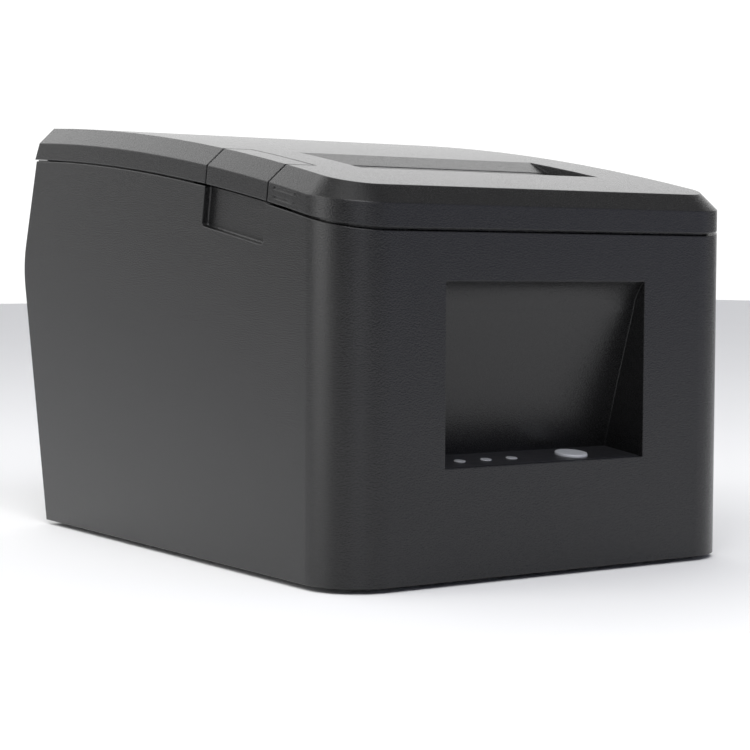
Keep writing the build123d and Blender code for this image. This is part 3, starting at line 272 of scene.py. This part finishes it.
def frosted_lens(name, colour):
    """A frosted clear lens with its lamp off."""
    mat, tree, shader = new_material(name)
    where = place(tree)
    frost = noise(tree, where, 2400.0, 3.0, 0.6)
    normal, edge = soft_edges(tree, 0.0002)
    put(tree, shader.inputs["Normal"], bump(tree, frost, 0.4, 0.00003, normal))
    base = blend_colour(tree, noise(tree, where, 500.0), shade(colour, 0.85), shade(colour, 1.1))
    # the edges are painted lighter: partly worn, partly a painted edge highlight
    base = edge_wear_and_highlight(tree, edge, 0.5, base, shade(colour, 1.3))
    put(tree, shader.inputs["Base Color"], base)
    put(tree, shader.inputs["Roughness"], spread(tree, frost, 0.28, 0.42))
    shader.inputs["Transmission Weight"].default_value = 0.25
    shader.inputs["Subsurface Weight"].default_value = 0.15
    shader.inputs["Subsurface Radius"].default_value = (0.001, 0.001, 0.001)
    return mat


def circuit_board(name):
    """Green solder mask over copper traces, with small bright vias."""
    mat, tree, shader = new_material(name)
    where = place(tree)
    lines = remap(tree, cells(tree, where, 260.0, "DISTANCE_TO_EDGE"), 0.03, 0.06, 1.0, 0.0)
    vias = remap(tree, cells(tree, where, 330.0), 0.10, 0.13, 1.0, 0.0)
    mask = blend_colour(tree, lines, rgba(0.008, 0.075, 0.030), rgba(0.018, 0.150, 0.055))
    mask = blend_colour(tree, noise(tree, where, 40.0, 3.0), mask, rgba(0.010, 0.090, 0.036))
    put(tree, shader.inputs["Base Color"], blend_colour(tree, vias, mask, rgba(0.60, 0.55, 0.42)))
    put(tree, shader.inputs["Metallic"], calc(tree, "MULTIPLY", vias, 0.9))
    put(tree, shader.inputs["Roughness"], spread(tree, noise(tree, where, 700.0), 0.28, 0.42))
    normal = soft_edges(tree, 0.0001)[0]
    height = calc(tree, "ADD", lines, vias)
    put(tree, shader.inputs["Normal"], bump(tree, height, 0.4, 0.00004, normal))
    return mat


def ceramic(name):
    """Glazed ceramic: the print head's strip and the board's small parts."""
    mat, tree, shader = new_material(name)
    cloud = noise(tree, place(tree, (1.0, 6.0, 6.0)), 120.0, 3.0)
    normal, edge = soft_edges(tree, 0.0001)
    base = blend_colour(tree, cloud, rgba(0.42, 0.40, 0.35), rgba(0.55, 0.53, 0.47))
    # the edges are painted lighter: partly worn, partly a painted edge highlight
    base = edge_wear_and_highlight(tree, edge, 0.5, base, rgba(0.7, 0.68, 0.6))
    put(tree, shader.inputs["Base Color"], base)
    put(tree, shader.inputs["Roughness"], spread(tree, cloud, 0.12, 0.22))
    ripple = noise(tree, place(tree), 900.0)
    put(tree, shader.inputs["Normal"], bump(tree, ripple, 0.15, 0.00001, normal))
    shader.inputs["Coat Weight"].default_value = 0.4
    return mat


ALONG_X = (0.04, 1.0, 1.0)    # stretches that draw a metal's grain out
ALONG_Y = (1.0, 0.04, 1.0)
ALONG_Z = (1.0, 1.0, 0.1)
ROUND_X = (1.0, 0.15, 0.15)
BLACK = (0.0060, 0.0060, 0.0062)

MATERIALS = {
    "case_plastic": textured_plastic("case_plastic", BLACK, 0.25, 2200.0, 0.00011, 0.0005),
    "lid_plastic": textured_plastic("lid_plastic", BLACK, 0.25, 2200.0, 0.00011, 0.0005),
    "panel_plastic": smooth_plastic("panel_plastic", (0.014, 0.014, 0.016), 0.36),
    "dark_plastic": smooth_plastic("dark_plastic", (0.020, 0.020, 0.021), 0.42),
    "well_plastic": textured_plastic("well_plastic", (0.024, 0.024, 0.025), 0.5, 900.0, 0.00008),
    "lens": frosted_lens("lens", (0.42, 0.43, 0.45)),
    "button_plastic": smooth_plastic("button_plastic", (0.40, 0.41, 0.43), 0.38, 0.0004, 1.2),
    "foot_rubber": rubber("foot_rubber", (0.016, 0.016, 0.016), 0.78),
    "platen_rubber": rubber("platen_rubber", (0.022, 0.022, 0.023), 0.62, 2600.0),
    "steel": brushed_metal("steel", (0.54, 0.54, 0.55), 0.36, ALONG_X),
    "blade_steel": brushed_metal("blade_steel", (0.60, 0.60, 0.61), 0.24, ALONG_Y, 1400.0),
    "screw_steel": brushed_metal("screw_steel", (0.50, 0.50, 0.51), 0.32, ALONG_Z, 2400.0),
    "aluminium": brushed_metal("aluminium", (0.70, 0.71, 0.72), 0.34, ALONG_X),
    "ceramic": ceramic("ceramic"),
    "gear_plastic": smooth_plastic("gear_plastic", (0.66, 0.64, 0.58), 0.40, 0.0001, 1.15),
    "brass": brushed_metal("brass", (0.72, 0.53, 0.24), 0.28, ROUND_X, 1600.0),
    "pcb": circuit_board("pcb"),
    "motor_can": brushed_metal("motor_can", (0.48, 0.49, 0.50), 0.38, ROUND_X),
    "socket_plastic": smooth_plastic("socket_plastic", (0.018, 0.018, 0.018), 0.50),
    "socket_metal": brushed_metal("socket_metal", (0.62, 0.62, 0.62), 0.26, ALONG_Y),
}

slots = {part["node"]: part["material_slot"] for part in frame["record"]["subparts"]}
for node, obj in NODES.items():
    obj.data.materials.clear()
    obj.data.materials.append(MATERIALS[slots[node]])

# ---------------------------------------------------------------- building pieces


def finish_piece(obj, name, body, slot, stands_for=()):
    """Names a piece, gives it its material and ties it to its body."""
    obj.name = name
    obj.data.materials.append(MATERIALS[slot])
    if stands_for:
        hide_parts(*stands_for)
    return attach(obj, body)


def mesh_object(name, build):
    """A mesh object filled by build(bm)."""
    mesh = bpy.data.meshes.new(name)
    bm = bmesh.new()
    build(bm)
    bm.normal_update()
    bm.to_mesh(mesh)
    bm.free()
    obj = bpy.data.objects.new(name, mesh)
    bpy.context.scene.collection.objects.link(obj)
    return obj


def sweep(bm, path, radius, sides=10):
    """A round wire along a list of points, closed at both ends."""
    last = len(path) - 1
    rings = []
    up = Vector((0.0, 0.0, 1.0))
    for i, middle in enumerate(path):
        ahead = (path[min(i + 1, last)] - path[max(i - 1, 0)]).normalized()
        across = ahead.cross(up)
        if across.length < 1e-6:
            across = ahead.cross(Vector((0.0, 1.0, 0.0)))
        across.normalize()
        up = across.cross(ahead).normalized()
        ring = []
        for k in range(sides):
            angle = 2 * math.pi * k / sides
            out = math.cos(angle) * across + math.sin(angle) * up
            ring.append(bm.verts.new(middle + radius * out))
        rings.append(ring)
    for a, b in zip(rings, rings[1:]):
        for k in range(sides):
            after = (k + 1) % sides
            bm.faces.new((a[k], b[k], b[after], a[after]))
    bm.faces.new(rings[0])
    bm.faces.new(list(reversed(rings[-1])))
    for face in bm.faces:
        face.smooth = True


def coil_points(start, along, radius, length, turns, steps=20):
    """Points on a helix with closer turns at both ends, from start along a unit vector."""
    closing = 0.25
    side = along.cross(Vector((1.0, 0.0, 0.0)))
    side.normalize()
    other = along.cross(side).normalized()
    total = int(turns * steps)
    points = []
    for i in range(total + 1):
        share = i / total
        advance = share - math.sin(2 * math.pi * share) / (2 * math.pi) * closing
        angle = 2 * math.pi * turns * share
        out = math.cos(angle) * side + math.sin(angle) * other
        points.append(start + along * (length * advance) + radius * out)
    return points


def small_box(bm, low, high, chamfer):
    """A box between two corners with softened edges."""
    made = bmesh.ops.create_cube(bm, size=1.0)
    middle = (low + high) / 2
    size = high - low
    for v in made["verts"]:
        v.co = Vector((v.co.x * size.x, v.co.y * size.y, v.co.z * size.z)) + middle
    edges = list({e for v in made["verts"] for e in v.link_edges})
    bmesh.ops.bevel(bm, geom=edges, offset=chamfer, segments=2, affect="EDGES", profile=0.7)


def point(x, y, z):
    """A point given in mm from the middle, the front face and the case's underside."""
    return Vector((x * MM, y * MM, z * MM)) + SHIFT


# ---------------------------------------------------------------- springs

LINE_Y = 40.5             # print line, mm
LINE_Z = 92.0
TILT = math.radians(12.0)

HEAD_SPRING_X = 25.0      # the two coils behind the print head, mm from the print line
HEAD_SPRING_BACK = -17.6
HEAD_SPRING_LEVEL = -4.0
HEAD_SPRING_LENGTH = 8.0 * MM
HEAD_SPRING_RADIUS = 2.45 * MM
HEAD_SPRING_TURNS = 6.0
HEAD_SPRING_WIRE = 0.35 * MM

LEVER_TILT = math.radians(9.78)
LEVER_MID_Y = 54.45       # middle of the release lever, mm
LID_ARC = 1142.0          # the seam under the lid is an arc: its radius and middle, mm
LID_ARC_Y = 248.3
LID_ARC_Z = -1018.0
LEVER_SEAM_Z = LID_ARC_Z + math.sqrt(LID_ARC ** 2 - (LEVER_MID_Y - LID_ARC_Y) ** 2)

COIL_X = -60.4            # the lever's torsion spring in the lever's tilted frame, mm
COIL_Z = 11.05 * math.cos(LEVER_TILT) - 3.0
COIL_FRONT = 21.8
COIL_LENGTH = 1.6
COIL_RADIUS = 1.45
COIL_TURNS = 3.75
COIL_STEPS = 90
COIL_WIRE = 0.21 * MM
LEG_X = -55.2             # the end of the spring's leg
LEG_STEPS = 6


def mech(x, n, u):
    """A point in the print mechanism's own tilted frame, in mm."""
    y = LINE_Y + n * math.cos(TILT) - u * math.sin(TILT)
    z = LINE_Z + n * math.sin(TILT) + u * math.cos(TILT)
    return point(x, y, z)


def at_lever(x, y, z):
    """A point in the release lever's tilted frame, in mm."""
    return point(
        x,
        LEVER_MID_Y + y * math.cos(LEVER_TILT) - z * math.sin(LEVER_TILT),
        LEVER_SEAM_Z + y * math.sin(LEVER_TILT) + z * math.cos(LEVER_TILT),
    )


def head_springs():
    """Two real coils behind the print head."""
    along = Vector((0.0, math.cos(TILT), math.sin(TILT)))

    def build(bm):
        for x in (-HEAD_SPRING_X, HEAD_SPRING_X):
            start = mech(x, HEAD_SPRING_BACK, HEAD_SPRING_LEVEL)
            coil = coil_points(start, along, HEAD_SPRING_RADIUS, HEAD_SPRING_LENGTH, HEAD_SPRING_TURNS)
            sweep(bm, coil, HEAD_SPRING_WIRE)

    obj = finish_piece(mesh_object("head_coils", build), "head_coils", "base", "steel", ("head_springs",))
    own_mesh(obj)


def lever_coil():
    """The lever's torsion spring: one leg, then close turns round the pin."""
    path = []
    for i in range(LEG_STEPS + 1):
        x = LEG_X + (COIL_X - LEG_X) * i / LEG_STEPS
        path.append(at_lever(x, COIL_FRONT, COIL_Z - COIL_RADIUS))
    for i in range(1, COIL_STEPS + 1):
        share = i / COIL_STEPS
        angle = 2 * math.pi * COIL_TURNS * share
        x = COIL_X - COIL_RADIUS * math.sin(angle)
        z = COIL_Z - COIL_RADIUS * math.cos(angle)
        path.append(at_lever(x, COIL_FRONT + COIL_LENGTH * share, z))
    coil = mesh_object("lever_coil", lambda bm: sweep(bm, path, COIL_WIRE))
    finish_piece(coil, "lever_coil", "lid", "steel", ("lever_spring",))


# ---------------------------------------------------------------- main board and sockets

BOARD_TOP = 9.6           # upper face of the main board, mm

CHIP_Y = 116.0            # middle of the processor, which stands at X = 0
CHIP_ROWS = 11.9          # from the chip's middle to the inner ends of its leads
LEAD_LENGTH = 1.7
LEAD_HALF = 0.2
LEAD_HEIGHT = 0.35
LEAD_PITCH = 1.1
LEADS_ALONG_X = 19
LEADS_ALONG_Y = 20
LEAD_FIRST_Y = 105.5

SMALL_PART_HALVES = (0.85, 0.45)
SMALL_PART_HEIGHT = 0.6
SMALL_PART_PITCH = 5.0
SMALL_PARTS_IN_ROW = 8
SMALL_PART_ROWS = (       # where a row starts, and which way it runs
    ((-24.0, 96.0), (0.0, 1.0)),
    ((38.0, 92.0), (0.0, 1.0)),
    ((-8.0, 136.0), (1.0, 0.0)),
)

SOCKET_FACE = 171.8       # rear faces of the sockets, mm
CONTACT_PITCH = 1.02
CONTACT_WIRE = 0.14 * MM
NETWORK_X = -14.0
DRAWER_X = 52.0
USB_X = 3.0


def board_parts():
    """Leads round the processor and rows of small chip parts on the main board."""
    def lead(bm, x0, x1, y0, y1):
        small_box(bm, point(x0, y0, BOARD_TOP), point(x1, y1, BOARD_TOP + LEAD_HEIGHT), 0.06 * MM)

    def leads(bm):
        tip = CHIP_ROWS + LEAD_LENGTH
        for i in range(LEADS_ALONG_X):
            x = (i - (LEADS_ALONG_X - 1) / 2) * LEAD_PITCH
            for y0, y1 in ((CHIP_Y - tip, CHIP_Y - CHIP_ROWS), (CHIP_Y + CHIP_ROWS, CHIP_Y + tip)):
                lead(bm, x - LEAD_HALF, x + LEAD_HALF, y0, y1)
        for i in range(LEADS_ALONG_Y):
            y = LEAD_FIRST_Y + i * LEAD_PITCH
            for x0, x1 in ((-tip, -CHIP_ROWS), (CHIP_ROWS, tip)):
                lead(bm, x0, x1, y - LEAD_HALF, y + LEAD_HALF)

    def small_parts(bm):
        for i in range(SMALL_PARTS_IN_ROW):
            for (x0, y0), (run_x, run_y) in SMALL_PART_ROWS:
                x = x0 + run_x * SMALL_PART_PITCH * i
                y = y0 + run_y * SMALL_PART_PITCH * i
                long_half, short_half = SMALL_PART_HALVES
                dx, dy = (short_half, long_half) if i % 3 == 1 else (long_half, short_half)
                low = point(x - dx, y - dy, BOARD_TOP)
                small_box(bm, low, point(x + dx, y + dy, BOARD_TOP + SMALL_PART_HEIGHT), 0.08 * MM)

    finish_piece(mesh_object("chip_leads", leads), "chip_leads", "base", "screw_steel")
    finish_piece(mesh_object("chip_parts", small_parts), "chip_parts", "base", "ceramic")


def socket_contacts():
    """Sprung contacts inside the network, USB and drawer sockets."""
    def springs(bm, middle, count, low, high, reach):
        """A row of wires that run level at the back and then arch up towards the opening."""
        level_run = 1.2
        clear = 5.0               # the arch's run is the reach less this
        arch_steps = 7
        arch_turn = 1.9           # radians of a sine, so that the free end drops a little
        back = SOCKET_FACE - reach
        for i in range(count):
            x = middle + (i - (count - 1) / 2) * CONTACT_PITCH
            path = [point(x, back, low), point(x, back + level_run, low)]
            for k in range(1, arch_steps + 1):
                share = k / arch_steps
                y = back + level_run + (reach - clear) * share
                path.append(point(x, y, low + (high - low) * math.sin(share * arch_turn)))
            sweep(bm, path, CONTACT_WIRE, 6)

    def build(bm):
        springs(bm, NETWORK_X, 8, BOARD_TOP + 2.75, BOARD_TOP + 4.6, 12.0)
        springs(bm, DRAWER_X, 6, BOARD_TOP + 2.35, BOARD_TOP + 4.0, 10.2)
        for side in (-1.25, 1.25):
            x = USB_X + side
            low = point(x - 0.5, SOCKET_FACE - 8.4, BOARD_TOP + 7.35)
            small_box(bm, low, point(x + 0.5, SOCKET_FACE - 2.0, BOARD_TOP + 7.6), 0.05 * MM)

    finish_piece(mesh_object("socket_contacts", build), "socket_contacts", "base", "brass")


head_springs()
lever_coil()
board_parts()
socket_contacts()

# ---------------------------------------------------------------- floor, light and camera

FLOOR_SIZE = 4.0

# soft panels in the surround: direction, cosine at the rim and where it is full, radiance;
# a negative one is a dark gap
PANELS = (
    ((0.56, 0.83, 0.0), 0.72, 0.92, 0.90),        # behind, to the right
    ((-0.55, 0.83, 0.0), 0.70, 0.93, 0.36),       # behind, to the left
    ((-0.96, 0.28, 0.0), 0.89, 0.985, 2.70),      # narrow and bright, at the left
    ((-0.74, 0.67, 0.0), 0.965, 0.988, -0.75),    # gap between those two
    ((-0.44, -0.90, 0.0), 0.95, 0.99, 0.30),      # in front, on the camera's right
    ((-0.83, -0.56, 0.0), 0.93, 0.985, -0.16),    # gap on the camera's left
    ((-0.05, 0.02, 1.0), 0.92, 0.985, 1.00),      # overhead
    ((0.75, -0.66, 0.0), 0.75, 0.97, 0.32),       # in front, to the right
)
SURROUND = 0.22           # radiance between the panels
BAND = 1.64               # radiance of the raised band behind the printer
BAND_SIDES = (0.20, 0.58)  # where the band comes in, as Y of the direction
BAND_FOOT = (0.05, 0.50)  # and as its Z
BAND_TOP = (0.68, 0.92)   # where it goes out again
WHITE = rgba(1.0, 1.0, 1.0)
COOL = rgba(0.88, 0.92, 1.22)
COOL_EDGE = (-0.55, -0.10)  # the cool tint goes out over these values of Y

# softboxes: name, place, target, width, height, radiance
SOFTBOXES = (
    ("high_left", (-1.10, 0.25, 0.85), (0.0, 0.0, 0.0), 0.8, 0.8, 2.1),
    ("high_front", (-0.45, -0.90, 1.00), (0.0, -0.05, 0.0), 1.0, 0.8, 5.0),
    ("beside_camera", (-0.80, -1.60, 0.25), (0.0, 0.0, 0.06), 0.18, 0.7, 1.1),
)

CAMERA_AT = (-353.86, -433.20, 85.68)   # mm from the middle, the front face and the underside
CAMERA_TURN = (34.068, 3.056, 0.298)    # to the right of +Y, down, and its roll, in degrees
CAMERA_LENS = 94.25


def pale_floor():
    """A wide pale floor that the printer stands on."""
    mat, tree, shader = new_material("floor")
    where = place(tree)
    base = blend_colour(tree, noise(tree, where, 3.0, 3.0), rgba(0.94, 0.94, 0.94), rgba(0.96, 0.96, 0.96))
    put(tree, shader.inputs["Base Color"], base)
    put(tree, shader.inputs["Roughness"], spread(tree, noise(tree, where, 40.0), 0.85, 0.95))
    shader.inputs["Specular IOR Level"].default_value = 0.1

    def build(bm):
        bmesh.ops.create_grid(bm, x_segments=8, y_segments=8, size=FLOOR_SIZE)

    obj = mesh_object("floor", build)
    obj.data.materials.append(mat)


def ramp(tree, value, low, high, to_low, to_high):
    """A range with soft ends."""
    return remap(tree, value, low, high, to_low, to_high, "SMOOTHSTEP")


def panel(tree, direction, rim, full, radiance):
    """A soft round panel in the surround."""
    coord = tree.nodes.new("ShaderNodeTexCoord")
    dot = tree.nodes.new("ShaderNodeVectorMath")
    dot.operation = "DOT_PRODUCT"
    tree.links.new(coord.outputs["Generated"], dot.inputs[0])
    dot.inputs[1].default_value = Vector(direction).normalized()
    return ramp(tree, dot.outputs["Value"], rim, full, 0.0, radiance)


def studio_world():
    """A soft surround: panels, a raised bright band behind, and a cooler tint in front."""
    world = bpy.data.worlds.new("studio")
    world.use_nodes = True
    tree = world.node_tree
    background = tree.nodes["Background"]
    axes = tree.nodes.new("ShaderNodeSeparateXYZ")
    tree.links.new(tree.nodes.new("ShaderNodeTexCoord").outputs["Generated"], axes.inputs[0])
    level = SURROUND
    for direction, rim, full, radiance in PANELS:
        level = calc(tree, "ADD", level, panel(tree, direction, rim, full, radiance))
    behind = ramp(tree, axes.outputs["Y"], *BAND_SIDES, 0.0, 1.0)
    raised = ramp(tree, axes.outputs["Z"], *BAND_FOOT, 0.0, 1.0)
    below_top = ramp(tree, axes.outputs["Z"], *BAND_TOP, 1.0, 0.0)
    band = calc(tree, "MULTIPLY", calc(tree, "MULTIPLY", behind, raised), below_top)
    lift = calc(tree, "MULTIPLY", band, calc(tree, "SUBTRACT", BAND, level))
    in_front = ramp(tree, axes.outputs["Y"], *COOL_EDGE, 1.0, 0.0)
    put(tree, background.inputs["Color"], blend_colour(tree, in_front, WHITE, COOL))
    put(tree, background.inputs["Strength"], calc(tree, "ADD", level, lift))
    bpy.context.scene.world = world


def softbox(name, at, target, width, height, radiance):
    """A rectangular soft light whose brightness doesn't depend on its size."""
    data = bpy.data.lights.new(name, "AREA")
    data.shape = "RECTANGLE"
    data.size = width
    data.size_y = height
    data.energy = radiance * math.pi * width * height
    obj = bpy.data.objects.new(name, data)
    obj.location = at
    obj.rotation_mode = "QUATERNION"
    obj.rotation_quaternion = (Vector(target) - Vector(at)).to_track_quat("-Z", "Y")
    bpy.context.scene.collection.objects.link(obj)


def camera():
    """The camera: low, in front and to the left, close to level."""
    yaw, pitch, roll = (math.radians(a) for a in CAMERA_TURN)
    ahead = (math.sin(yaw) * math.cos(pitch), math.cos(yaw) * math.cos(pitch), -math.sin(pitch))
    forward = Vector(ahead)
    level = Vector((math.cos(yaw), -math.sin(yaw), 0.0))
    upright = level.cross(forward)
    right = math.cos(roll) * level + math.sin(roll) * upright
    up = math.cos(roll) * upright - math.sin(roll) * level
    data = bpy.data.cameras.new("camera")
    data.lens = CAMERA_LENS
    data.sensor_width = 36.0
    obj = bpy.data.objects.new("camera", data)
    turn = Matrix((right, up, -forward)).transposed()
    obj.matrix_world = Matrix.Translation(point(*CAMERA_AT)) @ turn.to_4x4()
    bpy.context.scene.collection.objects.link(obj)
    bpy.context.scene.camera = obj


pale_floor()
studio_world()
for box in SOFTBOXES:
    softbox(*box)
camera()
bpy.context.scene.view_settings.view_transform = "Standard"
